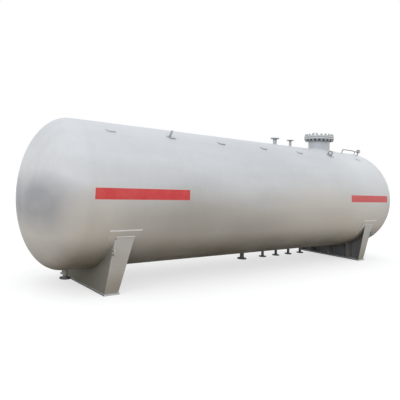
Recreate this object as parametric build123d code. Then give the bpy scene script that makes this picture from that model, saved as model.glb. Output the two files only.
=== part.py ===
from build123d import *
import os
from math import cos, hypot, radians, sin

os.makedirs("parts", exist_ok=True)

# Horizontal storage tank for liquefied gas, in millimetres.
# X runs along the tank, Y across it, Z up. The origin is on the ground under mid-length.

# Vessel
shell_outer_r = 1214.0
shell_wall = 14.0
course_length = 2015.0
course_count = 4
head_skirt = 40.0
head_ratio = 2.0
ground_gap = 283.0
half_shell = course_length * course_count / 2
tangent_x = half_shell + head_skirt

# Saddles
saddle_end_gap = 473.0
saddle_offset_x = -23.0
saddle_top_width = 336.0
saddle_foot_width = 236.0
saddle_foot_y = 837.0
saddle_wrap = 60.8
saddle_plate = 12.0
saddle_bend = 24.0
rib_pitch = 530.0
base_plate_thickness = 25.0
base_plate_lip = 15.0
anchor_hole_r = 14.0
anchor_slot_length = 60.0
anchor_spacing_x = 150.0
anchor_spacing_y = 1380.0
pad_thickness = 14.0
pad_width = 556.0
pad_wrap = 65.5
pad_corner_r = 12.0
relief_hole_r = 22.0
relief_hole_drop = 24.0
saddle_lug_r = 45.0
saddle_lug_hole_r = 20.0
saddle_lug_drop = 822.0
saddle_lug_thickness = 18.0
saddle_lug_lap = 50.0

# Manhole
manhole_end_gap = 1190.0
manhole_neck_r = 265.0
manhole_neck_wall = 15.0
manhole_flange_r = 365.0
manhole_flange_thickness = 44.0
manhole_rise = 315.0
manhole_bolt_circle_r = 330.0
manhole_stud_count = 20
manhole_stud_r = 16.5
manhole_hole_clearance = 1.5
manhole_nut_width = 50.0
manhole_nut_height = 26.0
manhole_stud_end = 20.0
manhole_gasket = 3.0
manhole_face_margin = 6.0
manhole_pad_margin = 125.0
handle_width = 117.0
handle_height = 59.0
handle_circle_r = 255.0
handle_turn = 191.0
handle_bar_r = 9.0

# Weld-neck flanges in three sizes: pipe, plate, bolt circle, hub and raised face
medium_flange = {
    "pipe_r": 30.15, "wall": 5.6, "outer_r": 82.5, "thickness": 20.0, "circle_r": 62.5,
    "hub_r": 37.5, "height": 48.0, "face_r": 51.0, "bolts": 4}
drain_flange = {
    "pipe_r": 38.05, "wall": 7.1, "outer_r": 92.5, "thickness": 22.0, "circle_r": 72.5,
    "hub_r": 45.0, "height": 52.0, "face_r": 61.0, "bolts": 8}
large_flange = {
    "pipe_r": 44.45, "wall": 8.0, "outer_r": 100.0, "thickness": 24.0, "circle_r": 80.0,
    "hub_r": 52.5, "height": 58.0, "face_r": 69.0, "bolts": 8}
flange_hole_r = 9.0
raised_face = 3.0
drain_end_gap = 172.0

# Nozzles: name, place along the tank, up or down, flange, height of the face off the shell
nozzles = [
    ("top_nozzle_1", 1140.0, 1, large_flange, 160.0),
    ("top_nozzle_2", 1710.0, 1, medium_flange, 163.0),
    ("bottom_nozzle_1", 138.0, -1, large_flange, 151.0),
    ("bottom_nozzle_2", 802.0, -1, medium_flange, 151.0),
    ("bottom_nozzle_3", 1258.0, -1, medium_flange, 151.0),
    ("bottom_nozzle_4", 1708.0, -1, medium_flange, 151.0),
    ("bottom_nozzle_5", 2156.0, -1, medium_flange, 151.0),
    ("drain_nozzle", drain_end_gap - tangent_x, -1, drain_flange, 170.0),
]

# Lifting lugs at the second bracket from each end, turned towards the crane's hook
lug_angle = 58.0
lug_turn = 45.0
lug_offset_x = -22.0
lug_thickness = 25.0
lug_eye_r = 56.0
lug_eye_height = 68.0
lug_hole_r = 31.0
lug_foot_half = 58.0

# Bent flat-bar brackets in a row along each shoulder
bracket_end_gap = 500.0
bracket_count = 7
bracket_angle = 54.4
bracket_length = 122.0
bracket_leg = 66.0
bracket_lean = 38.0
bracket_stand = 20.0
bracket_tail_stand = 8.0
bracket_offset_x = -6.0
bracket_bar = 6.0
bracket_bend = 20.0

# Gauge beside the right head and the thin line that runs to it
gauge_end_gap = 5.0
gauge_angle = 72.3
gauge_case_r = 50.0
gauge_case_depth = 46.0
gauge_height = 104.0
gauge_stem_r = 11.0
gauge_boss_r = 22.0
gauge_boss_height = 22.0
gauge_line_r = 12.0
gauge_line_reach = 735.0
gauge_line_kink_gap = 300.0
gauge_line_foot_gap = 160.0
gauge_line_height = 105.0
gauge_line_drop = 25.0
gauge_line_bend = 30.0

# Sizes that follow from the ones above
shell_inner_r = shell_outer_r - shell_wall
axis_height = shell_outer_r + ground_gap
inner_depth = shell_inner_r / head_ratio
outer_depth = inner_depth + shell_wall
pad_outer_r = shell_outer_r + pad_thickness
saddle_top_y = pad_outer_r * sin(radians(saddle_wrap))
saddle_top_z = axis_height - pad_outer_r * cos(radians(saddle_wrap))
saddle_slope = (saddle_top_y - saddle_foot_y) / (saddle_top_z - base_plate_thickness)
saddle_web_x = tangent_x - saddle_end_gap
saddle_middle_x = saddle_web_x - saddle_top_width / 2
base_middle_x = saddle_web_x - saddle_foot_width / 2
manhole_x = tangent_x - manhole_end_gap
manhole_face_z = axis_height + shell_outer_r + manhole_rise
manhole_cover_z = manhole_face_z + manhole_gasket
manhole_top_z = manhole_cover_z + manhole_flange_thickness
bracket_pitch = 2 * (tangent_x - bracket_end_gap) / (bracket_count - 1)
lug_x = bracket_pitch * (bracket_count - 3) / 2
gauge_x = tangent_x - gauge_end_gap
gauge_line_start_x = gauge_x - gauge_line_reach
gauge_line_kink_x = gauge_x - gauge_line_kink_gap
gauge_line_end_x = gauge_x - 0.8 * gauge_case_r
gauge_line_slope = gauge_line_drop / (gauge_line_end_x - gauge_line_kink_x)
big = tangent_x + shell_outer_r


def along_x(sketch, start, end):
    """Pull a sketch drawn across the tank, about its axis, from one place to another."""
    return Pos(start, 0, axis_height) * extrude(Plane.YZ * sketch, amount=end - start)


def upright(radius, x, side, start, end):
    """A round bar square to the crown (side 1) or to the underside (side -1)."""
    bar = extrude(Pos(0, 0, start) * Circle(radius), amount=end - start)
    turn = 0 if side > 0 else 180
    return Pos(x, 0, axis_height) * (Rot(turn, 0, 0) * bar)


def save(name, solid):
    export_step(Compound(label=name, children=solid.solids()), "parts/" + name + ".step")


def both_ways(solid):
    """The same piece on the front and on the back of the tank."""
    return Compound(children=solid.solids() + mirror(solid, about=Plane.XZ).solids())


inside = along_x(Circle(shell_inner_r), -big, big)
outside = along_x(Circle(shell_outer_r), -big, big)
pad_outside = along_x(Circle(pad_outer_r), -big, big)

# Shell courses: rolled plates, holed where the manhole and nozzles pass through
openings = [(manhole_x, manhole_neck_r, upright(manhole_neck_r, manhole_x, 1, 0, big))]
for name, x, side, flange, rise in nozzles:
    openings.append((x, flange["pipe_r"], upright(flange["pipe_r"], x, side, 0, big)))

for number in range(course_count):
    start = number * course_length - half_shell
    end = start + course_length
    course = along_x(Circle(shell_outer_r) - Circle(shell_inner_r), start, end)
    for x, radius, opening in openings:
        if start - radius < x < end + radius:
            course = course - opening
    save("shell_course_" + str(number + 1), course)


# Heads: dished ends with a short straight skirt, the same at both ends
def dished(radius, depth):
    """A solid with the skirt and dish of a head, turned about the tank's axis."""
    with BuildSketch(Plane.XZ) as profile:
        with BuildLine():
            Line((half_shell, 0), (half_shell, radius))
            Line((half_shell, radius), (tangent_x, radius))
            EllipticalCenterArc((tangent_x, 0), depth, radius, start_angle=0, arc_size=90)
            Line((tangent_x + depth, 0), (half_shell, 0))
        make_face()
    return Pos(0, 0, axis_height) * revolve(profile.sketch, axis=Axis.X)


head_outside = dished(shell_outer_r, outer_depth)
head_right = head_outside - dished(shell_inner_r, inner_depth)
save("head_right", head_right)
save("head_left", mirror(head_right, about=Plane.YZ))


def saddle_prism(inset, start, end, bend):
    """The saddle's leaning outline pulled along the tank, with its web corners bent round."""
    shift = inset * hypot(1, saddle_slope)
    foot = saddle_foot_y - shift
    top = saddle_top_y - shift
    low = base_plate_thickness - axis_height
    high = saddle_top_z - axis_height
    outline = Polygon((-foot, low), (foot, low), (top, high), (-top, high), align=None)
    prism = along_x(outline, start, end)
    corners = [e for e in prism.edges() if abs(e.center().X - end) < 0.1 and abs(e.center().Y) > foot / 2]
    return fillet(corners, bend)


def free_edge_cut():
    """What lies inboard of the saddle's open side, which widens towards the shell."""
    foot_x = saddle_web_x - saddle_foot_width
    top_x = saddle_web_x - saddle_top_width
    far_x = top_x - big
    side = Polygon(
        (far_x, base_plate_thickness), (foot_x, base_plate_thickness),
        (top_x, saddle_top_z), (top_x, axis_height), (far_x, axis_height), align=None)
    return extrude(Plane.XZ * side, amount=big, both=True)


def saddle_web():
    """Web and end plates: one plate bent round at both corners, open on the inboard side.

    A relief hole at the top of each corner lets air and water out from behind the plates.
    """
    start = saddle_web_x - saddle_top_width - saddle_plate
    shell = saddle_prism(0, start, saddle_web_x, saddle_bend)
    web_inner = saddle_web_x - saddle_plate
    core = saddle_prism(saddle_plate, start - saddle_plate, web_inner, saddle_bend - saddle_plate)
    tall = Pos(0, 0, saddle_plate) * core
    web = shell - core - tall - pad_outside - free_edge_cut()
    hole_z = saddle_top_z - relief_hole_drop
    hole_y = saddle_foot_y + saddle_slope * (hole_z - base_plate_thickness)
    for side in (-1, 1):
        bar = Rot(0, 0, side * 45) * Rot(0, 90, 0) * Cylinder(relief_hole_r, 6 * saddle_bend)
        web = web - Pos(saddle_web_x, side * hole_y, hole_z) * bar
    return web


def saddle_ribs():
    """Three upright plates between the web and the open side."""
    ribs = []
    start = saddle_web_x - saddle_top_width - saddle_plate
    for y in (-rib_pitch, 0, rib_pitch):
        low = base_plate_thickness - axis_height
        plate = Pos(y, low / 2) * Rectangle(saddle_plate, -low)
        rib = along_x(plate, start, saddle_web_x - saddle_plate) - pad_outside - free_edge_cut()
        ribs += rib.solids()
    return Compound(children=ribs)


def saddle_base(slot):
    """Base plate with four anchor holes, round on the fixed saddle and slotted on the sliding one."""
    width = saddle_foot_width + 2 * base_plate_lip
    depth = 2 * (saddle_foot_y + base_plate_lip)
    sketch = Rectangle(width, depth)
    for place in GridLocations(anchor_spacing_x, anchor_spacing_y, 2, 2):
        hole = SlotOverall(anchor_slot_length, 2 * anchor_hole_r) if slot else Circle(anchor_hole_r)
        sketch = sketch - place * hole
    return Pos(base_middle_x, 0, 0) * extrude(sketch, amount=base_plate_thickness)


def wear_pad():
    """Curved plate between the saddle and the shell."""
    ring = Circle(pad_outer_r) - Circle(shell_outer_r)
    ray_y = big * sin(radians(pad_wrap))
    ray_z = -big * cos(radians(pad_wrap))
    wedge = Polygon((0, 0), (-ray_y, ray_z), (-ray_y, -big), (ray_y, -big), (ray_y, ray_z), align=None)
    half = pad_width / 2
    pad = along_x(ring & wedge, saddle_middle_x - half, saddle_middle_x + half)
    corners = [e for e in pad.edges() if abs(e.length - pad_thickness) < 0.01]
    return fillet(corners, pad_corner_r)


def saddle_lugs():
    """An eye plate lapped on the web at each corner, its eye outside the end plate."""
    centre_z = axis_height - saddle_lug_drop
    face_y = saddle_foot_y + saddle_slope * (centre_z - base_plate_thickness)
    centre_y = face_y + saddle_lug_r
    eye = Pos(-centre_y, -saddle_lug_drop) * Circle(saddle_lug_r)
    root_length = saddle_lug_r + saddle_lug_lap
    root = Pos(root_length / 2 - centre_y, -saddle_lug_drop) * Rectangle(root_length, 2 * saddle_lug_r)
    hole = Pos(-centre_y, -saddle_lug_drop) * Circle(saddle_lug_hole_r)
    return both_ways(along_x(eye + root - hole, saddle_web_x, saddle_web_x + saddle_lug_thickness))


for side_name, direction in (("left", -1), ("right", 1)):
    pieces = {
        "base": saddle_base(direction > 0),
        "web": saddle_web(),
        "ribs": saddle_ribs(),
        "pad": wear_pad(),
        "lugs": saddle_lugs(),
    }
    for piece_name, piece in pieces.items():
        if direction < 0:
            piece = mirror(piece, about=Plane.YZ)
        save("saddle_" + side_name + "_" + piece_name, Pos(saddle_offset_x, 0, 0) * piece)

# Manhole: pad, neck, plate flange, gasket and blind cover held by studs
manhole_bore_r = manhole_neck_r - manhole_neck_wall
neck_top = manhole_face_z - axis_height
neck = upright(manhole_neck_r, manhole_x, 1, 0, neck_top) - upright(manhole_bore_r, manhole_x, 1, 0, neck_top)
save("manhole_neck", neck - inside)

pad_block = upright(manhole_neck_r + manhole_pad_margin, manhole_x, 1, 0, big)
pad_shell = along_x(Circle(shell_outer_r + shell_wall), manhole_x - big, manhole_x + big)
manhole_pad = pad_block & pad_shell
save("manhole_pad", manhole_pad - outside - upright(manhole_neck_r, manhole_x, 1, 0, big))


stud_hole_r = manhole_stud_r + manhole_hole_clearance
manhole_face_r = manhole_bolt_circle_r - stud_hole_r - manhole_face_margin
stud_places = PolarLocations(manhole_bolt_circle_r, manhole_stud_count, start_angle=180 / manhole_stud_count)


def manhole_plate():
    """A thick round plate with the ring of stud holes, its raised face below at zero."""
    sketch = Circle(manhole_flange_r)
    for place in stud_places:
        sketch = sketch - place * Circle(stud_hole_r)
    plate = Pos(0, 0, raised_face) * extrude(sketch, amount=manhole_flange_thickness - raised_face)
    return plate + extrude(Circle(manhole_face_r), amount=manhole_flange_thickness)


studs_low = manhole_face_z - manhole_flange_thickness
flange_plate = Pos(manhole_x, 0, manhole_face_z) * Rot(180, 0, 0) * manhole_plate()
save("manhole_flange", flange_plate - upright(manhole_neck_r, manhole_x, 1, 0, big))
save("manhole_cover", Pos(manhole_x, 0, manhole_cover_z) * manhole_plate())

gasket = extrude(Circle(manhole_face_r) - Circle(manhole_bore_r), amount=manhole_gasket)
save("manhole_gasket", Pos(manhole_x, 0, manhole_face_z) * gasket)

grip = 2 * manhole_flange_thickness + manhole_gasket
nut = extrude(RegularPolygon(manhole_nut_width / 2, 6, major_radius=False), amount=manhole_nut_height)
nut = chamfer(nut.edges().group_by(Axis.Z)[-1], 2)
stud_length = grip + 2 * (manhole_nut_height + manhole_stud_end)
stud = extrude(Circle(manhole_stud_r), amount=stud_length)
stud = chamfer(stud.edges(), 2)
stud = Pos(0, 0, -manhole_nut_height - manhole_stud_end) * stud
stud = stud + Pos(0, 0, grip) * nut + Rot(180, 0, 0) * nut
studs = [place * stud for place in stud_places]
save("manhole_studs", Pos(manhole_x, 0, studs_low) * Compound(children=studs))


def bent_bar(points, bend, radius):
    """A round bar along a path, with its corners bent."""
    path = FilletPolyline(*points, radius=bend)
    return sweep(Plane(path @ 0, z_dir=path % 0) * Circle(radius), path=path)


handle_half = handle_width / 2
handle_path = [
    (-handle_half, 0, 0), (-handle_half, 0, handle_height),
    (handle_half, 0, handle_height), (handle_half, 0, 0)]
handle = bent_bar(handle_path, 2.5 * handle_bar_r, handle_bar_r)
handle = Rot(0, 0, handle_turn) * Pos(handle_circle_r, 0, 0) * Rot(0, 0, 90) * handle
save("manhole_handle", Pos(manhole_x, 0, manhole_top_z) * handle)


# Nozzles: a pipe set through the shell and a weld-neck flange on its end
def weld_neck_flange(size):
    """Turned flange with raised face and tapered hub, its face at zero and its hub upwards."""
    bore_r = size["pipe_r"] - size["wall"]
    thickness = size["thickness"]
    height = size["height"]
    profile = Polygon(
        (bore_r, 0), (size["face_r"], 0), (size["face_r"], raised_face),
        (size["outer_r"], raised_face), (size["outer_r"], thickness), (size["hub_r"], thickness),
        (size["pipe_r"], height - size["wall"]), (size["pipe_r"], height), (bore_r, height), align=None)
    flange = revolve(Plane.XZ * profile, axis=Axis.Z)
    for place in PolarLocations(size["circle_r"], size["bolts"], start_angle=180 / size["bolts"]):
        flange = flange - place * Cylinder(flange_hole_r, 3 * thickness)
    return flange


for name, x, side, flange, rise in nozzles:
    face = shell_outer_r + rise
    turn = 180 if side > 0 else 0
    save(name + "_flange", Pos(x, 0, axis_height + side * face) * Rot(turn, 0, 0) * weld_neck_flange(flange))
    weld = face - flange["height"]
    bore_r = flange["pipe_r"] - flange["wall"]
    pipe = upright(flange["pipe_r"], x, side, 0, weld) - upright(bore_r, x, side, 0, weld)
    save(name + "_pipe", pipe - inside)


# Shoulder fittings: each is drawn on a plane that touches the shell
def shoulder(x, angle, turn):
    """Plane at a place on the front shoulder: first axis turned from the tank's, second outwards."""
    out = Vector(0, -cos(radians(angle)), sin(radians(angle)))
    up = Vector(0, sin(radians(angle)), cos(radians(angle)))
    first = Vector(1, 0, 0) * cos(radians(turn)) + up * sin(radians(turn))
    foot = Vector(x, 0, axis_height) + out * shell_outer_r
    return Plane(origin=foot, x_dir=first, z_dir=first.cross(out))


sink = 3 * raised_face
lug_cheek = Polygon(
    (-lug_foot_half, -sink), (lug_foot_half, -sink),
    (lug_eye_r, lug_eye_height), (-lug_eye_r, lug_eye_height), align=None)
lug_sketch = lug_cheek + Pos(0, lug_eye_height) * Circle(lug_eye_r)
lug_sketch = lug_sketch - Pos(0, lug_eye_height) * Circle(lug_hole_r)
lug_plane = shoulder(-lug_x, lug_angle, lug_turn)
lug_left = extrude(lug_plane * lug_sketch, amount=lug_thickness / 2, both=True) - outside
lug_pair = Compound(children=lug_left.solids() + mirror(lug_left, about=Plane.YZ).solids())
lugs_front = Pos(lug_offset_x, 0, 0) * lug_pair
save("lifting_lugs_front", lugs_front)
save("lifting_lugs_back", mirror(lugs_front, about=Plane.XZ))

half = bracket_length / 2
with BuildSketch() as bracket_sketch:
    with BuildLine():
        leg_end = (-half - bracket_lean, bracket_leg)
        bar_line = FilletPolyline(leg_end, (-half, 0), (half, 0), radius=bracket_bend)
        offset(bar_line, amount=bracket_bar / 2, kind=Kind.INTERSECTION)
    make_face()
leg_cut = Polygon(
    (bracket_bend, sink + bracket_stand), (bracket_leg, sink + bracket_tail_stand),
    (bracket_length, sink + bracket_tail_stand), (bracket_length, sink + bracket_length),
    (bracket_bend, sink + bracket_length), align=None)
bracket_bar_solid = extrude(bracket_sketch.sketch, amount=bracket_stand + sink)
bracket_solid = bracket_bar_solid - extrude(Plane.YZ * leg_cut, amount=bracket_length, both=True)
brackets = []
for number in range(bracket_count):
    x = (number - (bracket_count - 1) / 2) * bracket_pitch + bracket_offset_x
    base = shoulder(x, bracket_angle, 0)
    flat = Plane(origin=base.origin - base.y_dir * sink, x_dir=base.x_dir, z_dir=base.y_dir)
    bracket = flat.location * bracket_solid - outside
    brackets += bracket.solids()
brackets_front = Compound(children=brackets)
save("brackets_front", brackets_front)
save("brackets_back", mirror(brackets_front, about=Plane.XZ))

# Gauge: boss and stem on the head's knuckle, and a round case facing the front
gauge_frame = shoulder(gauge_x, gauge_angle, 0)
out = gauge_frame.y_dir
stem_foot = gauge_frame.origin - out * gauge_boss_height / 2
stem_plane = Plane(origin=stem_foot, z_dir=out)
boss = extrude(stem_plane * Circle(gauge_boss_r), amount=1.5 * gauge_boss_height)
stem = extrude(stem_plane * Circle(gauge_stem_r), amount=gauge_height)
case_centre = gauge_frame.origin + out * gauge_height
case_plane = Plane(origin=case_centre, x_dir=(1, 0, 0), z_dir=(0, -1, 0))
case = extrude(case_plane * Circle(gauge_case_r), amount=gauge_case_depth / 2, both=True)
gauge = boss + stem + case - along_x(Circle(shell_outer_r), 0, half_shell) - head_outside
save("gauge", gauge)

line_points = [
    (gauge_line_start_x, -sink), (gauge_line_start_x, gauge_line_height),
    (gauge_line_kink_x, gauge_line_height), (gauge_line_end_x, gauge_line_height - gauge_line_drop)]
spots = [Vector(px, 0, axis_height) + out * (shell_outer_r + py) for px, py in line_points]
line = bent_bar([tuple(s) for s in spots], gauge_line_bend, gauge_line_r)
foot_x = gauge_x - gauge_line_foot_gap
foot_height = gauge_line_height - gauge_line_slope * (foot_x - gauge_line_kink_x)
foot_low = Vector(foot_x, 0, axis_height) + out * (shell_outer_r - sink)
foot = extrude(Plane(origin=foot_low, z_dir=out) * Circle(gauge_line_r * 0.8), amount=foot_height + sink)
save("gauge_line", line + foot - outside - gauge)
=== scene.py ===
from math import asin, cos, degrees, pi, radians, sin, sqrt

import bmesh
import bpy
from mathutils import Matrix, Vector


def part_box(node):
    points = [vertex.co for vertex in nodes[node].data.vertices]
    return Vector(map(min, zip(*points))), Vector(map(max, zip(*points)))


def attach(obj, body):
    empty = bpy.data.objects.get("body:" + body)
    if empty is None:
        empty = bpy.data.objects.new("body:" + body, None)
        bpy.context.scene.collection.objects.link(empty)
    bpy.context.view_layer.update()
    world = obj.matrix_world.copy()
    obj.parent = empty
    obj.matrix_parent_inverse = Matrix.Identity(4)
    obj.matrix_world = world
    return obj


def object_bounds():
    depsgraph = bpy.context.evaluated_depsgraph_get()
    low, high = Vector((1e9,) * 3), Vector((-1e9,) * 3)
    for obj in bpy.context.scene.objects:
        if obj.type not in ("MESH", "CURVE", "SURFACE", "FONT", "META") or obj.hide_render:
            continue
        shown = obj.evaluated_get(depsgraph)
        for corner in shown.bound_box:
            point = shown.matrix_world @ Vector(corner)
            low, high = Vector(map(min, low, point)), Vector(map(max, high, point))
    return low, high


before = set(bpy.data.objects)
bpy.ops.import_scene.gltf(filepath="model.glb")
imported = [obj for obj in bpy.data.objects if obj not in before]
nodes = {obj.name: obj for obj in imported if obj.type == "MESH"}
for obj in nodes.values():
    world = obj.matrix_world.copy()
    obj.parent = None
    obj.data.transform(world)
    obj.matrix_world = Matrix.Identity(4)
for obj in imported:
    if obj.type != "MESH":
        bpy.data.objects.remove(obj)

cad_box = [list(corner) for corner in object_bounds()]


# The camera stands at eye level off the tank's left end and in front of it. The picture is
# cut from a wider one, so the lens looks past its middle.
camera_data = bpy.data.cameras.new("camera")
camera_data.sensor_width = 36
camera_data.lens = 38.167
camera_data.shift_x = 0.0719
camera_data.shift_y = -0.1430
camera_data.clip_end = 300
camera = bpy.data.objects.new("camera", camera_data)
camera.location = (-6.738, -6.624, 1.770)
camera.rotation_euler = (1.65857, -0.04325, -0.63508)
bpy.context.scene.collection.objects.link(camera)
bpy.context.scene.camera = camera


# The studio: an even pale surround, a plain floor and three large soft lamps, one over the
# tank, one in front and one off its left end. Seen straight, in gloss or through glass the
# surround is plain white, as in the picture, and the floor is white where no shadow falls.
bpy.context.scene.view_settings.view_transform = "Standard"


def add(tree, kind, values=None, **settings):
    """A node of a kind with its settings, and the values of its inputs by name or number."""
    node = tree.nodes.new(kind)
    for key, value in settings.items():
        setattr(node, key, value)
    for key, value in (values or {}).items():
        node.inputs[key].default_value = value
    return node


def plug(tree, socket, value):
    """Links a socket to another node's output, or gives it a number or a colour."""
    if hasattr(value, "is_linked"):
        tree.links.new(value, socket)
    elif hasattr(value, "__len__"):
        socket.default_value = (*value, 1)
    else:
        socket.default_value = value


def soft_lamp(name, place, aim, size, watts):
    """A large rectangular lamp that faces a point."""
    data = bpy.data.lights.new(name, "AREA")
    data.shape = "RECTANGLE"
    data.size, data.size_y = size
    data.energy = watts
    lamp = bpy.data.objects.new(name, data)
    lamp.location = place
    lamp.rotation_euler = (Vector(aim) - Vector(place)).to_track_quat("-Z", "Y").to_euler()
    bpy.context.scene.collection.objects.link(lamp)


def seen_straight(tree):
    """One for camera, glossy and transmission rays, nought for the rays that carry light."""
    path = add(tree, "ShaderNodeLightPath")
    gloss = add(tree, "ShaderNodeMath", operation="MAXIMUM")
    seen = add(tree, "ShaderNodeMath", operation="MAXIMUM")
    tree.links.new(path.outputs["Is Camera Ray"], gloss.inputs[0])
    tree.links.new(path.outputs["Is Glossy Ray"], gloss.inputs[1])
    tree.links.new(gloss.outputs[0], seen.inputs[0])
    tree.links.new(path.outputs["Is Transmission Ray"], seen.inputs[1])
    return seen.outputs[0]


soft_lamp("lamp_over", (-1, -2, 10), (0, 0, 1.5), (16, 9), 35)
soft_lamp("lamp_front", (-4, -13, 10), (0, 0, 1.5), (18, 6), 275)
soft_lamp("lamp_left", (-12, -3, 4.4), (-4, 0, 1.3), (6, 5), 150)

world = bpy.data.worlds.new("surround")
bpy.context.scene.world = world
world.use_nodes = True
sky = world.node_tree
sky.nodes.clear()
sky_out = add(sky, "ShaderNodeOutputWorld")
sky_seen = add(sky, "ShaderNodeBackground", {"Color": (1, 1, 1, 1), "Strength": 1.0})
sky_light = add(sky, "ShaderNodeBackground", {"Color": (0.955, 0.985, 1.0, 1), "Strength": 1.0})
sky_mix = add(sky, "ShaderNodeMixShader")
sky.links.new(seen_straight(sky), sky_mix.inputs[0])
sky.links.new(sky_light.outputs[0], sky_mix.inputs[1])
sky.links.new(sky_seen.outputs[0], sky_mix.inputs[2])
sky.links.new(sky_mix.outputs[0], sky_out.inputs[0])

floor_half = 120
floor_bm = bmesh.new()
bmesh.ops.create_grid(floor_bm, x_segments=1, y_segments=1, size=floor_half)
floor_mesh = bpy.data.meshes.new("floor")
floor_bm.to_mesh(floor_mesh)
floor_bm.free()
floor = bpy.data.objects.new("floor", floor_mesh)
bpy.context.scene.collection.objects.link(floor)
floor_paint = bpy.data.materials.new("floor")
floor_paint.use_nodes = True
floor_mesh.materials.append(floor_paint)
ground = floor_paint.node_tree
ground.nodes.clear()
ground_out = add(ground, "ShaderNodeOutputMaterial")
ground_sand = add(ground, "ShaderNodeBsdfDiffuse", {"Color": (0.33, 0.265, 0.175, 1)})
ground_pale = add(ground, "ShaderNodeBsdfDiffuse", {"Color": (0.45, 0.45, 0.45, 1)})
ground_glow = add(ground, "ShaderNodeEmission", {"Color": (1, 1, 1, 1), "Strength": 0.62})
ground_white = add(ground, "ShaderNodeAddShader")
ground_mix = add(ground, "ShaderNodeMixShader")
ground.links.new(ground_pale.outputs[0], ground_white.inputs[0])
ground.links.new(ground_glow.outputs[0], ground_white.inputs[1])
ground.links.new(seen_straight(ground), ground_mix.inputs[0])
ground.links.new(ground_sand.outputs[0], ground_mix.inputs[1])
ground.links.new(ground_white.outputs[0], ground_mix.inputs[2])
ground.links.new(ground_mix.outputs[0], ground_out.inputs[0])


# The vessel: rolled steel courses and pressed heads, welded and sprayed with satin silver-grey
# paint. The coat is cloudy and streaked by rain, dusty and warmed by a painted bounce from the
# ground on its sides, darker with painted shade below and greyed on the heads by a painted dark
# reflection. Two red bands are painted along each side, one near each end.
shell_low, shell_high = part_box("shell_course_3")
shell_r = (shell_high.z - shell_low.z) / 2
axis_z = (shell_high.z + shell_low.z) / 2
course_length = shell_high.x - shell_low.x
half_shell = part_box("head_right")[0].x
# Between these distances from the tank's middle the films of dirt and painted shade go over to those of
# the heads
heads_from = 4.1
heads_full = 4.4

silver_pale = (0.645, 0.665, 0.705)
silver_deep = (0.585, 0.605, 0.64)
# Dusty brown; as a film by height it is also a painted warm bounce from the ground
dust_and_ground_bounce = (0.42, 0.35, 0.265)
# Painted shade, laid on low on the tank, the pads and the saddles
low_shade = (0.105, 0.094, 0.072)
mud = (0.22, 0.19, 0.155)
# Greenish grime with painted shade, on saddle faces that look outward along the tank
moss_and_shade = (0.135, 0.138, 0.112)
shade_dirt = (0.20, 0.215, 0.25)
# A painted dark reflection, laid as spots on the heads
head_reflection_grey = (0.26, 0.27, 0.315)
washed = (0.72, 0.69, 0.655)
crown_film = (0.44, 0.445, 0.45)
bright = (0.74, 0.76, 0.79)
red = (0.66, 0.058, 0.066)
red_worn = (0.70, 0.095, 0.098)

# Each band: its ends along the tank, its lower and upper edge above the axis, how far it faded
bands = [(-4.052, -2.354, -0.040, 0.126, 0.0), (2.392, 4.000, -0.052, 0.108, 0.07)]
band_edge = 0.001
# The roughness that a full film adds, of dirt and painted shade alike, and the part of a spot's
# reach where it is full
film_matte = 0.40
stain_core = 0.35


def figure(tree, operation, first, second=0.0, third=0.0, clamp=False):
    """The outcome of an operation on numbers or sockets."""
    node = add(tree, "ShaderNodeMath", operation=operation, use_clamp=clamp)
    for index, value in enumerate((first, second, third)):
        plug(tree, node.inputs[index], value)
    return node.outputs[0]


def ramp(tree, value, start, end, top=1.0, bottom=0.0):
    """Runs from bottom to top while a value goes from start to end."""
    limits = {"From Min": start, "From Max": end, "To Min": bottom, "To Max": top}
    node = add(tree, "ShaderNodeMapRange", limits)
    tree.links.new(value, node.inputs["Value"])
    return node.outputs[0]


def blend(tree, share, first, second):
    """A share of the second colour over the first."""
    node = add(tree, "ShaderNodeMix", data_type="RGBA")
    plug(tree, node.inputs[0], share)
    plug(tree, node.inputs[6], first)
    plug(tree, node.inputs[7], second)
    return node.outputs[2]


def noise(tree, place, scale, detail, stretch=(1, 1, 1)):
    """Cloudy noise over the object's own space, in metres, stretched if asked."""
    if stretch != (1, 1, 1):
        mapping = add(tree, "ShaderNodeMapping", {"Scale": stretch})
        tree.links.new(place, mapping.inputs["Vector"])
        place = mapping.outputs[0]
    node = add(tree, "ShaderNodeTexNoise", {"Scale": scale, "Detail": detail, "Roughness": 0.55})
    tree.links.new(place, node.inputs["Vector"])
    return node.outputs["Fac"]


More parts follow.
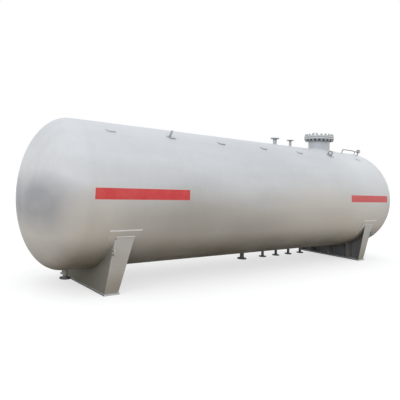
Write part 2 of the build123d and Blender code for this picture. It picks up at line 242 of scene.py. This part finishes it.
def paint(name, pale, deep, films=(), grime=0.10, gloss=0.38, rise=0.006, painted=(), stains_and_reflections=(),
          end_shade_and_grime=0.0):
    """Sprayed steel: cloudy tone, rain streaks, films of dirt and painted light and shade by height, and
    a fine peel.

    A film is the heights where it starts and where it is full, its share, how much of that is
    left on the heads, and its colour. A stain or painted reflection is a spot on the front and on
    the back, its reach, how much flatter than long it is, its share and its colour. Painted bands
    lie on top of the coat. With end_shade_and_grime, the faces that look along the tank or inward
    are darker, with grime and painted shade.
    """
    material = bpy.data.materials.new(name)
    material.use_nodes = True
    tree = material.node_tree
    shader = tree.nodes["Principled BSDF"]
    place = add(tree, "ShaderNodeTexCoord").outputs["Object"]
    split = add(tree, "ShaderNodeSeparateXYZ")
    tree.links.new(place, split.inputs[0])
    along, across, height = split.outputs

    # Clouds, mottling and long sweeps make one tone, and rain has run down it in thin streaks
    cloud = noise(tree, place, 0.8, 3.0, (0.6, 1.0, 1.5))
    mottle = noise(tree, place, 7.0, 5.0)
    sweep = noise(tree, place, 1.0, 3.0, (0.45, 3.2, 3.2))
    tone = figure(tree, "MULTIPLY_ADD", mottle, 0.35, cloud)
    tone = ramp(tree, figure(tree, "MULTIPLY_ADD", sweep, 0.60, tone), 0.80, 1.16)
    colour = blend(tree, tone, deep, pale)
    runs = noise(tree, place, 1.0, 4.0, (9.0, 9.0, 0.7))
    colour = blend(tree, ramp(tree, runs, 0.50, 0.78, grime), colour, dust_and_ground_bounce)
    # Films and spots are patchy, and the spots, painted reflections among them, are the same on the front
    # and the back
    patchy = ramp(tree, noise(tree, place, 2.4, 4.0, (0.5, 1.0, 1.0)), 0.30, 0.70, 1.15, 0.85)
    matte = 0.0
    for upper, lower, share, end_share, tint in films:
        spread = figure(tree, "ABSOLUTE", along)
        spread = ramp(tree, spread, heads_from, heads_full, end_share * share, share)
        spread = figure(tree, "MULTIPLY", spread, patchy)
        film = figure(tree, "MULTIPLY", ramp(tree, height, upper, lower), spread)
        colour = blend(tree, film, colour, tint)
        matte = figure(tree, "MULTIPLY_ADD", film, film_matte, matte)
    both_sides = add(tree, "ShaderNodeCombineXYZ")
    for index, value in enumerate((along, figure(tree, "ABSOLUTE", across), height)):
        plug(tree, both_sides.inputs[index], value)
    for spot, reach, flat, share, tint in stains_and_reflections:
        shift = add(tree, "ShaderNodeVectorMath", operation="SUBTRACT")
        tree.links.new(both_sides.outputs[0], shift.inputs[0])
        shift.inputs[1].default_value = spot
        squash = add(tree, "ShaderNodeVectorMath", operation="MULTIPLY")
        tree.links.new(shift.outputs[0], squash.inputs[0])
        squash.inputs[1].default_value = (1, 1, flat)
        away = add(tree, "ShaderNodeVectorMath", operation="LENGTH")
        tree.links.new(squash.outputs[0], away.inputs[0])
        near = ramp(tree, away.outputs["Value"], reach, stain_core * reach, share)
        film = figure(tree, "MULTIPLY", near, patchy)
        colour = blend(tree, film, colour, tint)
    # Painted bands have crisp edges and are a little worn and dusty
    for start, end, low, high, fade in painted:
        after_start = ramp(tree, along, start, start + band_edge)
        before_end = ramp(tree, along, end + band_edge, end)
        mask = figure(tree, "MULTIPLY", after_start, before_end)
        for level, way in ((axis_z + low, band_edge), (axis_z + high, -band_edge)):
            mask = figure(tree, "MULTIPLY", mask, ramp(tree, height, level, level + way))
        worn = blend(tree, ramp(tree, mottle, 0.35, 0.75), red, red_worn)
        worn = blend(tree, ramp(tree, runs, 0.55, 0.85, 0.08), worn, dust_and_ground_bounce)
        worn = blend(tree, fade, worn, silver_pale)
        colour = blend(tree, mask, colour, worn)
    # Faces that look along the tank get greenish grime and painted shade outboard and dark grime and
    # painted shade inboard, inward ones both
    if end_shade_and_grime > 0:
        normal = add(tree, "ShaderNodeNewGeometry").outputs["Normal"]
        facing = add(tree, "ShaderNodeSeparateXYZ")
        tree.links.new(normal, facing.inputs[0])
        side = ramp(tree, figure(tree, "ABSOLUTE", facing.outputs[0]), 0.55, 0.9, end_shade_and_grime)
        inward = ramp(tree, figure(tree, "MULTIPLY", facing.outputs[1], across), -0.1, -0.3, end_shade_and_grime)
        side = figure(tree, "MAXIMUM", side, inward)
        outboard = ramp(tree, figure(tree, "MULTIPLY", facing.outputs[0], along), -0.5, 0.5)
        colour = blend(tree, side, colour, blend(tree, outboard, shade_dirt, moss_and_shade))
    tree.links.new(colour, shader.inputs["Base Color"])

    # The gloss varies and is lost under the films, dirt and painted shade alike, and the coat has a
    # fine peel and a slight wave
    dull = ramp(tree, mottle, 0.3, 0.7, gloss + 0.08, gloss - 0.05)
    tree.links.new(figure(tree, "ADD", dull, matte, clamp=True), shader.inputs["Roughness"])
    shader.inputs["Specular IOR Level"].default_value = 0.3
    peel = add(tree, "ShaderNodeBump", {"Strength": 0.12, "Distance": 0.0006})
    tree.links.new(noise(tree, place, 260.0, 2.0), peel.inputs["Height"])
    wavy = add(tree, "ShaderNodeBump", {"Strength": 0.25, "Distance": rise})
    tree.links.new(noise(tree, place, 2.2, 1.0), wavy.inputs["Height"])
    tree.links.new(peel.outputs[0], wavy.inputs["Normal"])
    tree.links.new(wavy.outputs[0], shader.inputs["Normal"])
    return material


def coat(material, *names):
    """Gives solids of the frame a better finish in place of their plain one."""
    for name in names:
        for slot in nodes[name].material_slots:
            slot.material = material


def about_axis(radius, x, turn):
    """A point round the tank's axis, its angle in degrees from straight down towards the back."""
    return Vector((x, radius * sin(radians(turn)), axis_z - radius * cos(radians(turn))))


def ring_about_axis(radius, x, start, end, step):
    """Evenly spaced points round the tank's axis from one angle to another."""
    count = max(2, round(radians(abs(end - start)) * radius / step))
    return [about_axis(radius, x, start + (end - start) * index / count) for index in range(count + 1)]


def run(start, end, step):
    """Evenly spaced points on a straight line."""
    first, last = Vector(start), Vector(end)
    count = max(2, round((last - first).length / step))
    return [first.lerp(last, index / count) for index in range(count + 1)]


def bead(name, lines, radius, material):
    """Weld beads along lines of points, a little uneven, kept inside the tank's widest line.

    Each line is its points and whether it closes.
    """
    curve = bpy.data.curves.new(name, "CURVE")
    curve.dimensions = "3D"
    curve.bevel_depth = radius
    curve.bevel_resolution = 1
    curve.use_fill_caps = True
    for points, closed in lines:
        spline = curve.splines.new("POLY")
        spline.points.add(len(points) - 1)
        for index, (spot, point) in enumerate(zip(spline.points, points)):
            spot.co = (*point, 1)
            spot.radius = 1 + 0.10 * sin(2.4 * index) + 0.06 * sin(1.1 * index + 1)
        spline.use_cyclic_u = closed
    draft = bpy.data.objects.new(name, curve)
    bpy.context.scene.collection.objects.link(draft)
    mesh = bpy.data.meshes.new_from_object(draft)
    bpy.data.objects.remove(draft)
    bpy.data.curves.remove(curve)
    mesh.name = name
    for vertex in mesh.vertices:
        vertex.co.y = min(max(vertex.co.y, cad_box[0][1]), cad_box[1][1])
    mesh.shade_smooth()
    mesh.materials.clear()
    mesh.materials.append(material)
    piece = bpy.data.objects.new(name, mesh)
    bpy.context.scene.collection.objects.link(piece)
    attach(piece, "root")


# The films are a dusty one with a painted warm bounce from the ground on the sides, painted
# shade below and a thin grey one on the crown. The spots are a painted dark reflection on the
# heads, mud from the ground, and places that rain has washed or kept bright.
shell_films = [
    (axis_z + 0.22, axis_z - 0.30, 0.36, 0.9, dust_and_ground_bounce),
    (axis_z - 0.62, axis_z - 1.08, 0.76, 0.20, low_shade),
    (axis_z + 0.60, axis_z + 0.90, 0.16, 1.0, crown_film)]
shell_stains_and_reflections = [
    ((-4.60, 0.48, axis_z - 0.13), 1.10, 2.2, 0.70, head_reflection_grey),
    ((4.60, 0.48, axis_z - 0.13), 1.10, 2.2, 0.70, head_reflection_grey),
    ((-2.15, 1.17, axis_z - 0.34), 1.30, 1.7, 0.20, mud),
    ((-0.50, 1.03, axis_z - 0.64), 1.30, 2.6, 0.16, mud),
    ((1.35, 1.15, axis_z - 0.20), 2.00, 2.6, 0.50, washed),
    ((3.20, 1.10, axis_z - 0.46), 1.50, 2.2, 0.62, washed),
    ((-4.00, 1.15, axis_z - 0.32), 0.60, 1.0, 0.45, washed),
    ((3.60, 0.75, axis_z + 0.80), 1.80, 1.0, 0.65, bright)]
silver = paint(
    "silver_paint", silver_pale, silver_deep, shell_films, grime=0.05, painted=bands, stains_and_reflections=shell_stains_and_reflections)
weld_coat = paint(
    "weld_paint", silver_pale, silver_deep, shell_films, grime=0.05, rise=0.02, painted=bands,
    stains_and_reflections=shell_stains_and_reflections)
coat(silver, *[name for name in nodes if name.startswith(("shell_course", "head_"))])

# The beads are sunk until they stand just proud. The long seams lie at the back, staggered.
seam_r = 0.007
seam_sink = 0.0054
seam_line_r = shell_r - seam_sink
seam_step = 0.04
long_seam_turns = (128, 152, 134, 158)
seam_places = [number * course_length for number in range(-2, 3)]
seams = []
for x in seam_places:
    seams.append((ring_about_axis(seam_line_r, x, 0, 360, seam_step)[:-1], True))
for x, turn in zip(seam_places, long_seam_turns):
    start = about_axis(seam_line_r, x, turn)
    seams.append((run(start, start + Vector((course_length, 0, 0)), seam_step), False))
bead("seam_welds", seams, seam_r, weld_coat)


# The saddles: a plate bent into web and end plates, on a base plate, with ribs inside, all
# welded to a wear pad that is welded to the shell. They wear the tank's paint, dusty and warmed by
# a painted bounce from the ground, darker with painted shade low down, and the web, the base's
# edges and the insides darkest, with grime and painted shade.
saddle_films = [(1.30, 0.0, 0.62, 1.0, dust_and_ground_bounce), (0.40, 0.0, 0.36, 1.0, low_shade)]
base_film = (0.03, 0.0, 0.25, 1.0, dust_and_ground_bounce)
rib_film = (0.5, 0.0, 0.2, 1.0, dust_and_ground_bounce)
pad_bead_film = (1.3, 0.0, 0.15, 1.0, dust_and_ground_bounce)
foot_bead_film = (0.3, 0.0, 0.2, 1.0, dust_and_ground_bounce)
# The ribs are painted darker than the saddle's paint, as painted shade inside the saddle
rib_shade_grey = (0.22, 0.225, 0.24), (0.16, 0.165, 0.175)
# The beads on the pads' edges and the end plates' tops are paler than the paint, a painted highlight
# where they face up
pad_bead_highlight = (0.74, 0.74, 0.73), (0.68, 0.68, 0.67)
foot_bead_grey = (0.30, 0.295, 0.27), (0.24, 0.235, 0.21)
saddle_coat = paint(
    "saddle_paint", silver_pale, silver_deep, saddle_films, grime=0.16, gloss=0.45, end_shade_and_grime=0.74)
base_coat = paint(
    "base_paint", silver_pale, silver_deep, [base_film], grime=0.20, gloss=0.5, end_shade_and_grime=0.85)
pad_films = [shell_films[0], (axis_z - 0.61, axis_z - 1.03, 0.78, 1.0, low_shade)]
pad_coat = paint("pad_paint", silver_pale, silver_deep, pad_films, grime=0.08, stains_and_reflections=shell_stains_and_reflections)
rib_shade_coat = paint("rib_shade_paint", *rib_shade_grey, [rib_film], grime=0.16, gloss=0.5)
pad_weld_highlight = paint("pad_weld_paint", *pad_bead_highlight, [pad_bead_film], gloss=0.42, rise=0.02)
foot_weld = paint("foot_weld_paint", *foot_bead_grey, [foot_bead_film], gloss=0.5, rise=0.02)

fillet_r = 0.0065
top_line_r = 0.0085
pad_line_r = 0.012
fillet_step = 0.02
foot_width = 0.236
base_lip = 0.015
web_plate = 0.012
rib_pitch = 0.530
# The web's beads stop where it bends: this far in along the foot, these degrees in at the pad
bend = 0.024
bend_turn = 2.5
for side, out in (("left", -1), ("right", 1)):
    prefix = "saddle_" + side
    coat(saddle_coat, prefix + "_web", prefix + "_lugs")
    coat(rib_shade_coat, prefix + "_ribs")
    coat(pad_coat, prefix + "_pad")
    coat(base_coat, prefix + "_base")
    pad_low, pad_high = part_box(prefix + "_pad")
    web_low, web_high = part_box(prefix + "_web")
    base_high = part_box(prefix + "_base")[1]
    pad_r = axis_z - pad_low.z
    pad_turn = degrees(asin(pad_high.y / pad_r))
    web_turn = degrees(asin(web_high.y / pad_r))
    web_x = web_high.x if out > 0 else web_low.x
    open_x = web_low.x if out > 0 else web_high.x
    foot_x = web_x - out * foot_width
    inner_x = web_x - out * web_plate
    bend_x = web_x - out * bend
    foot_y = base_high.y - base_lip
    base_z = base_high.z
    rounds = []
    for x in (pad_low.x, pad_high.x):
        rounds.append((ring_about_axis(shell_r, x, -pad_turn, pad_turn, fillet_step), False))
    web_ends = (bend_turn - web_turn, web_turn - bend_turn)
    rounds.append((ring_about_axis(pad_r, web_x, *web_ends, fillet_step), False))
    levels = []
    tops = []
    feet = [(run((web_x, bend - foot_y, base_z), (web_x, foot_y - bend, base_z), fillet_step), False)]
    for hand in (-1, 1):
        start = about_axis(shell_r, pad_low.x, hand * pad_turn)
        levels.append((run(start, (pad_high.x, start.y, start.z), fillet_step), False))
        corner = about_axis(pad_r, bend_x, hand * web_turn)
        tops.append((run(corner, (open_x, corner.y, corner.z), fillet_step), False))
        side_y = hand * foot_y
        feet.append((run((bend_x, side_y, base_z), (foot_x, side_y, base_z), fillet_step), False))
    for y in (-rib_pitch, 0.0, rib_pitch):
        for face in (y - web_plate / 2, y + web_plate / 2):
            crown = axis_z - sqrt(pad_r ** 2 - face ** 2)
            feet.append((run((inner_x, face, base_z), (foot_x, face, base_z), fillet_step), False))
            feet.append((run((inner_x, face, crown), (open_x, face, crown), fillet_step), False))
            feet.append((run((inner_x, face, base_z), (inner_x, face, crown), fillet_step), False))
    bead(prefix + "_round_welds", rounds, fillet_r, weld_coat)
    bead(prefix + "_pad_welds", levels, pad_line_r, pad_weld_highlight)
    bead(prefix + "_top_welds", tops, top_line_r, pad_weld_highlight)
    bead(prefix + "_foot_welds", feet, fillet_r, foot_weld)


# The manhole: a painted steel neck welded through a round pad, with a thick flange and a blind
# cover on a rubber gasket. Twenty zinc-plated studs with a nut at each end hold the cover,
# weathered to a dull pale grey.
neck_low, neck_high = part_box("manhole_neck")
manhole_pad_low, manhole_pad_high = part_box("manhole_pad")
under_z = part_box("manhole_flange")[0].z
manhole_weld_r = 0.010
manhole_pad_plate = 0.014
manhole_x = (neck_low.x + neck_high.x) / 2
neck_r = (neck_high.x - neck_low.x) / 2
manhole_pad_r = (manhole_pad_high.x - manhole_pad_low.x) / 2
neck_silver = (0.57, 0.60, 0.64), (0.50, 0.53, 0.57)
plate_silver = (0.62, 0.65, 0.69), (0.55, 0.58, 0.62)
deep_shade = (0.10, 0.108, 0.12)
under_flange = (under_z - 0.10, under_z - 0.01, 0.90, 1.0, deep_shade)
under_rim = (under_z + 0.004, under_z + 0.001, 0.90, 1.0, deep_shade)
manhole_coat = paint("manhole_paint", *neck_silver, [under_flange], grime=0.14)
plate_coat = paint("plate_paint", *plate_silver, [under_rim], grime=0.10)
coat(manhole_coat, "manhole_neck")
coat(silver, "manhole_pad")
coat(plate_coat, "manhole_flange", "manhole_cover", "manhole_handle")


def around(count):
    """Even angles of a full turn."""
    return [2 * pi * index / count for index in range(count)]


def ring_about_pipe(x, pipe_r, radius, side, step):
    """Points where an upright pipe meets a cylinder round the tank's axis, above or below."""
    points = []
    for turn in around(max(16, round(2 * pi * pipe_r / step))):
        y = pipe_r * sin(turn)
        z = axis_z + side * sqrt(radius ** 2 - y ** 2)
        points.append(Vector((x + pipe_r * cos(turn), y, z)))
    return points


neck_joins = [
    (ring_about_pipe(manhole_x, manhole_pad_r, shell_r, 1, fillet_step), True),
    (ring_about_pipe(manhole_x, neck_r, shell_r + manhole_pad_plate, 1, fillet_step), True)]
bead("manhole_welds", neck_joins, manhole_weld_r, weld_coat)
neck_round = ring_about_pipe(manhole_x, neck_r, shell_r, 1, fillet_step)
neck_top = [Vector((spot.x, spot.y, under_z)) for spot in neck_round]
bead("manhole_flange_weld", [(neck_top, True)], manhole_weld_r, manhole_coat)


def plain(name, pale, deep, gloss, metal, scale, bump):
    """A mottled surface with its own grain, for rubber, zinc and printed faces."""
    material = bpy.data.materials.new(name)
    material.use_nodes = True
    tree = material.node_tree
    shader = tree.nodes["Principled BSDF"]
    place = add(tree, "ShaderNodeTexCoord").outputs["Object"]
    mottle = noise(tree, place, scale, 4.0)
    tree.links.new(blend(tree, ramp(tree, mottle, 0.35, 0.70), deep, pale), shader.inputs["Base Color"])
    tree.links.new(ramp(tree, mottle, 0.3, 0.7, gloss + 0.10, gloss - 0.06), shader.inputs["Roughness"])
    shader.inputs["Metallic"].default_value = metal
    grain = add(tree, "ShaderNodeBump", {"Strength": bump, "Distance": 0.0008})
    tree.links.new(noise(tree, place, scale * 8, 3.0), grain.inputs["Height"])
    tree.links.new(grain.outputs[0], shader.inputs["Normal"])
    return material


zinc_grey = (0.50, 0.52, 0.535), (0.36, 0.375, 0.385)
rubber_black = (0.10, 0.10, 0.105), (0.05, 0.05, 0.055)
zinc = plain("zinc", *zinc_grey, gloss=0.5, metal=0.25, scale=30.0, bump=0.3)
gasket_sheet = plain("gasket_sheet", *rubber_black, gloss=0.80, metal=0.0, scale=60.0, bump=0.4)
coat(zinc, "manhole_studs")
coat(gasket_sheet, "manhole_gasket")


# The nozzles: steel pipe stubs welded into the shell, each with a forged weld-neck flange.
# The flanges are greyer than the shell, and the ones below are in its shade and dirt.
flange_grey = (0.32, 0.34, 0.355), (0.25, 0.27, 0.28)
pipe_grey = (0.48, 0.505, 0.53), (0.42, 0.44, 0.46)
low_grey = (0.215, 0.22, 0.22), (0.15, 0.155, 0.155)
drain_grey = (0.40, 0.385, 0.36), (0.31, 0.30, 0.28)
top_coat = paint("top_flange_paint", *flange_grey, grime=0.2)
pipe_coat = paint("top_pipe_paint", *pipe_grey, grime=0.2)
low_coat = paint("low_nozzle_paint", *low_grey, grime=0.12, gloss=0.5)
drain_coat = paint("drain_pipe_paint", *drain_grey, grime=0.2, gloss=0.5)
nozzle_weld_r = 0.005
nozzle_step = 0.008
weld_inset = 0.003
neck_points = 40
top_joins = []
low_joins = []
for name in nodes:
    if "nozzle_" in name and name.endswith("_pipe"):
        stem = name.removesuffix("_pipe")
        low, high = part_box(name)
        middle = (low.x + high.x) / 2
        pipe_r = (high.x - low.x) / 2
        if stem.startswith("top"):
            coat(top_coat, stem + "_flange")
            coat(pipe_coat, name)
            side, level, joins = 1, high.z, top_joins
        else:
            coat(low_coat, stem + "_flange")
            coat(drain_coat if stem.startswith("drain") else low_coat, name)
            side, level, joins = -1, low.z, low_joins
        joins.append((ring_about_pipe(middle, pipe_r, shell_r, side, nozzle_step), True))
        inset = pipe_r - weld_inset
        neck_ring = []
        for turn in around(neck_points):
            neck_ring.append(Vector((middle + inset * cos(turn), inset * sin(turn), level)))
        joins.append((neck_ring, True))
bead("top_nozzle_welds", top_joins, nozzle_weld_r, weld_coat)
bead("low_nozzle_welds", low_joins, nozzle_weld_r, low_coat)


# The shoulder fittings: thick steel eye plates for lifting and bent flat bars, welded on edge.
# Their paint is darker than the shell's, less so on the bars at the ends.
fitting_grey = (0.42, 0.43, 0.44), (0.33, 0.335, 0.34)
bracket_grey = (0.47, 0.48, 0.49), (0.37, 0.375, 0.38)
paler_ends = [
    ((3.55, 0.70, axis_z + 0.99), 0.90, 1.0, 0.75, silver_pale),
    ((-3.55, 0.70, axis_z + 0.99), 0.90, 1.0, 0.35, silver_pale)]
fitting_coat = paint("fitting_paint", *fitting_grey, grime=0.25, gloss=0.5)
bracket_coat = paint("bracket_paint", *bracket_grey, grime=0.25, gloss=0.5, stains_and_reflections=paler_ends)
coat(fitting_coat, "lifting_lugs_front", "lifting_lugs_back")
coat(bracket_coat, "brackets_front", "brackets_back")

head_skirt = 0.04
bracket_end_gap = 0.50
bracket_count = 7
bracket_pitch = 2 * (half_shell + head_skirt - bracket_end_gap) / (bracket_count - 1)
bracket_shift = -0.006
bracket_angle = 54.4
bracket_weld_r = 0.003
lug_x = 2 * bracket_pitch
lug_shift = -0.022
lug_angle = 58.0
lug_turn = 45
lug_weld_r = 0.006
# The outlines of a lug's foot and of a bar's, in metres along the tank and up the shell
lug_foot = [(-0.058, -0.0125), (0.058, -0.0125), (0.058, 0.0125), (-0.058, 0.0125)]
bar_foot = [
    (-0.106, 0.066), (-0.068, 0.003), (0.055, 0.003), (0.055, -0.003), (-0.069, -0.003), (-0.111, 0.063)]


def shoulder_loop(corners, x, angle, turn, hand):
    """A closed line on the shell through corners drawn about a place, front (-1) or back (1)."""
    loop = []
    steps = 8
    for index, (first, second) in enumerate(corners):
        last = corners[(index + 1) % len(corners)]
        for step in range(steps):
            forward = first + (last[0] - first) * step / steps
            upward = second + (last[1] - second) * step / steps
            along = x + forward * cos(turn) - upward * sin(turn)
            level = radians(angle) + (forward * sin(turn) + upward * cos(turn)) / shell_r
            loop.append(Vector((along, hand * shell_r * cos(level), axis_z + shell_r * sin(level))))
    return loop, True


lug_joins = []
bar_joins = []
for hand in (-1, 1):
    for end in (-1, 1):
        turn = radians(-lug_turn * end)
        lug_joins.append(shoulder_loop(lug_foot, end * lug_x + lug_shift, lug_angle, turn, hand))
    for number in range(bracket_count):
        bar_x = (number - (bracket_count - 1) / 2) * bracket_pitch + bracket_shift
        bar_joins.append(shoulder_loop(bar_foot, bar_x, bracket_angle, 0.0, hand))
bead("lug_welds", lug_joins, lug_weld_r, weld_coat)
bead("bracket_welds", bar_joins, bracket_weld_r, weld_coat)


# The gauge: a round painted steel case on a short stem and boss at the right end. Its front
# has a rolled rim and a white dial printed in black. A thin tube on two welded feet runs to it
# along the crown.
gauge_grey = (0.40, 0.41, 0.42), (0.31, 0.315, 0.32)
dial_pale = (0.66, 0.66, 0.63), (0.55, 0.55, 0.51)
dial_ink = (0.05, 0.05, 0.055), (0.03, 0.03, 0.035)
gauge_coat = paint("gauge_paint", *gauge_grey, grime=0.1, gloss=0.4)
dial_white = plain("dial_white", *dial_pale, gloss=0.30, metal=0.0, scale=40.0, bump=0.05)
dial_black = plain("dial_black", *dial_ink, gloss=0.45, metal=0.0, scale=60.0, bump=0.1)
coat(gauge_coat, "gauge", "gauge_line")

gauge_low, gauge_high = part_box("gauge")
case_r = (gauge_high.x - gauge_low.x) / 2
case_middle = Vector(((gauge_low.x + gauge_high.x) / 2, gauge_low.y, gauge_high.z - case_r))
facets = 64
rim_inner_r = 0.0430
dial_r = 0.0432
dial_plate = 0.001
# The rim's section, from its outer edge round to the dial: radius, and height above the case
rim_section = [
    (case_r - 0.0005, 0.0), (case_r - 0.0008, 0.0035), (case_r - 0.002, 0.005),
    (rim_inner_r + 0.0015, 0.005), (rim_inner_r, 0.0035), (rim_inner_r, 0.0)]
graduations = 31
scale_start = 225
scale_sweep = 270
pointer_turn = 200
mark_foot = 0.0008
# Each mark: its inner and outer radius, half its width at each, and its height above the case
long_mark = (0.031, 0.039, 0.0007, 0.0007, 0.0016)
short_mark = (0.035, 0.039, 0.0004, 0.0004, 0.0016)
pointer = (-0.010, 0.030, 0.0016, 0.0004, 0.0024)
hub = (-0.004, 0.004, 0.004, 0.004, 0.003)


def facing_front(name, build, material):
    """A small piece drawn in bmesh on the front of the gauge's case, facing the front."""
    shape = bmesh.new()
    build(shape)
    mesh = bpy.data.meshes.new(name)
    shape.to_mesh(mesh)
    shape.free()
    mesh.materials.append(material)
    piece = bpy.data.objects.new(name, mesh)
    bpy.context.scene.collection.objects.link(piece)
    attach(piece, "root")


def bezel(shape):
    """The rolled rim round the dial: its section, spun about the case's axis."""
    corners = [shape.verts.new(case_middle + Vector((radius, -top, 0))) for radius, top in rim_section]
    lines = [shape.edges.new((corners[index - 1], corner)) for index, corner in enumerate(corners)]
    bmesh.ops.spin(
        shape, geom=corners + lines, cent=case_middle, axis=(0, 1, 0), angle=2 * pi, steps=facets,
        use_merge=True)
    bmesh.ops.recalc_face_normals(shape, faces=shape.faces)


def dial(shape):
    """The round white plate inside the rim."""
    place = Matrix.Translation(case_middle - Vector((0, dial_plate / 2, 0)))
    bmesh.ops.create_cone(
        shape, cap_ends=True, segments=facets, radius1=dial_r, radius2=dial_r, depth=dial_plate,
        matrix=place @ Matrix.Rotation(pi / 2, 4, "X"))


def stroke(shape, turn, inner, outer, inner_half, outer_half, top):
    """A flat raised mark between two radii, as wide as asked at each end."""
    along = Vector((cos(turn), 0, sin(turn)))
    across = Vector((-sin(turn), 0, cos(turn)))
    for corner in bmesh.ops.create_cube(shape, size=2)["verts"]:
        radius, half = (outer, outer_half) if corner.co.x > 0 else (inner, inner_half)
        proud = top if corner.co.y < 0 else mark_foot
        corner.co = case_middle + along * radius + across * half * corner.co.z - Vector((0, proud, 0))


def scale_marks(shape):
    """Graduations over three quarters of a turn, every fifth one longer, and the pointer."""
    for index in range(graduations):
        turn = radians(scale_start - scale_sweep * index / (graduations - 1))
        stroke(shape, turn, *(long_mark if index % 5 == 0 else short_mark))
    stroke(shape, radians(pointer_turn), *pointer)
    stroke(shape, radians(pointer_turn), *hub)


facing_front("gauge_bezel", bezel, gauge_coat)
facing_front("gauge_dial", dial, dial_white)
facing_front("gauge_marks", scale_marks, dial_black)

gauge_angle = 72.3
foot_points = 24
foot_weld_r = 0.003
# Each foot of the tube: its place along the tank and its radius
line_feet = [(case_middle.x - 0.160, 0.0096), (case_middle.x - 0.735, 0.012)]
foot_joins = []
for foot_middle, foot_r in line_feet:
    ring = [(foot_r * cos(turn), foot_r * sin(turn)) for turn in around(foot_points)]
    foot_joins.append(shoulder_loop(ring, foot_middle, gauge_angle, 0.0, -1))
bead("gauge_line_welds", foot_joins, foot_weld_r, weld_coat)
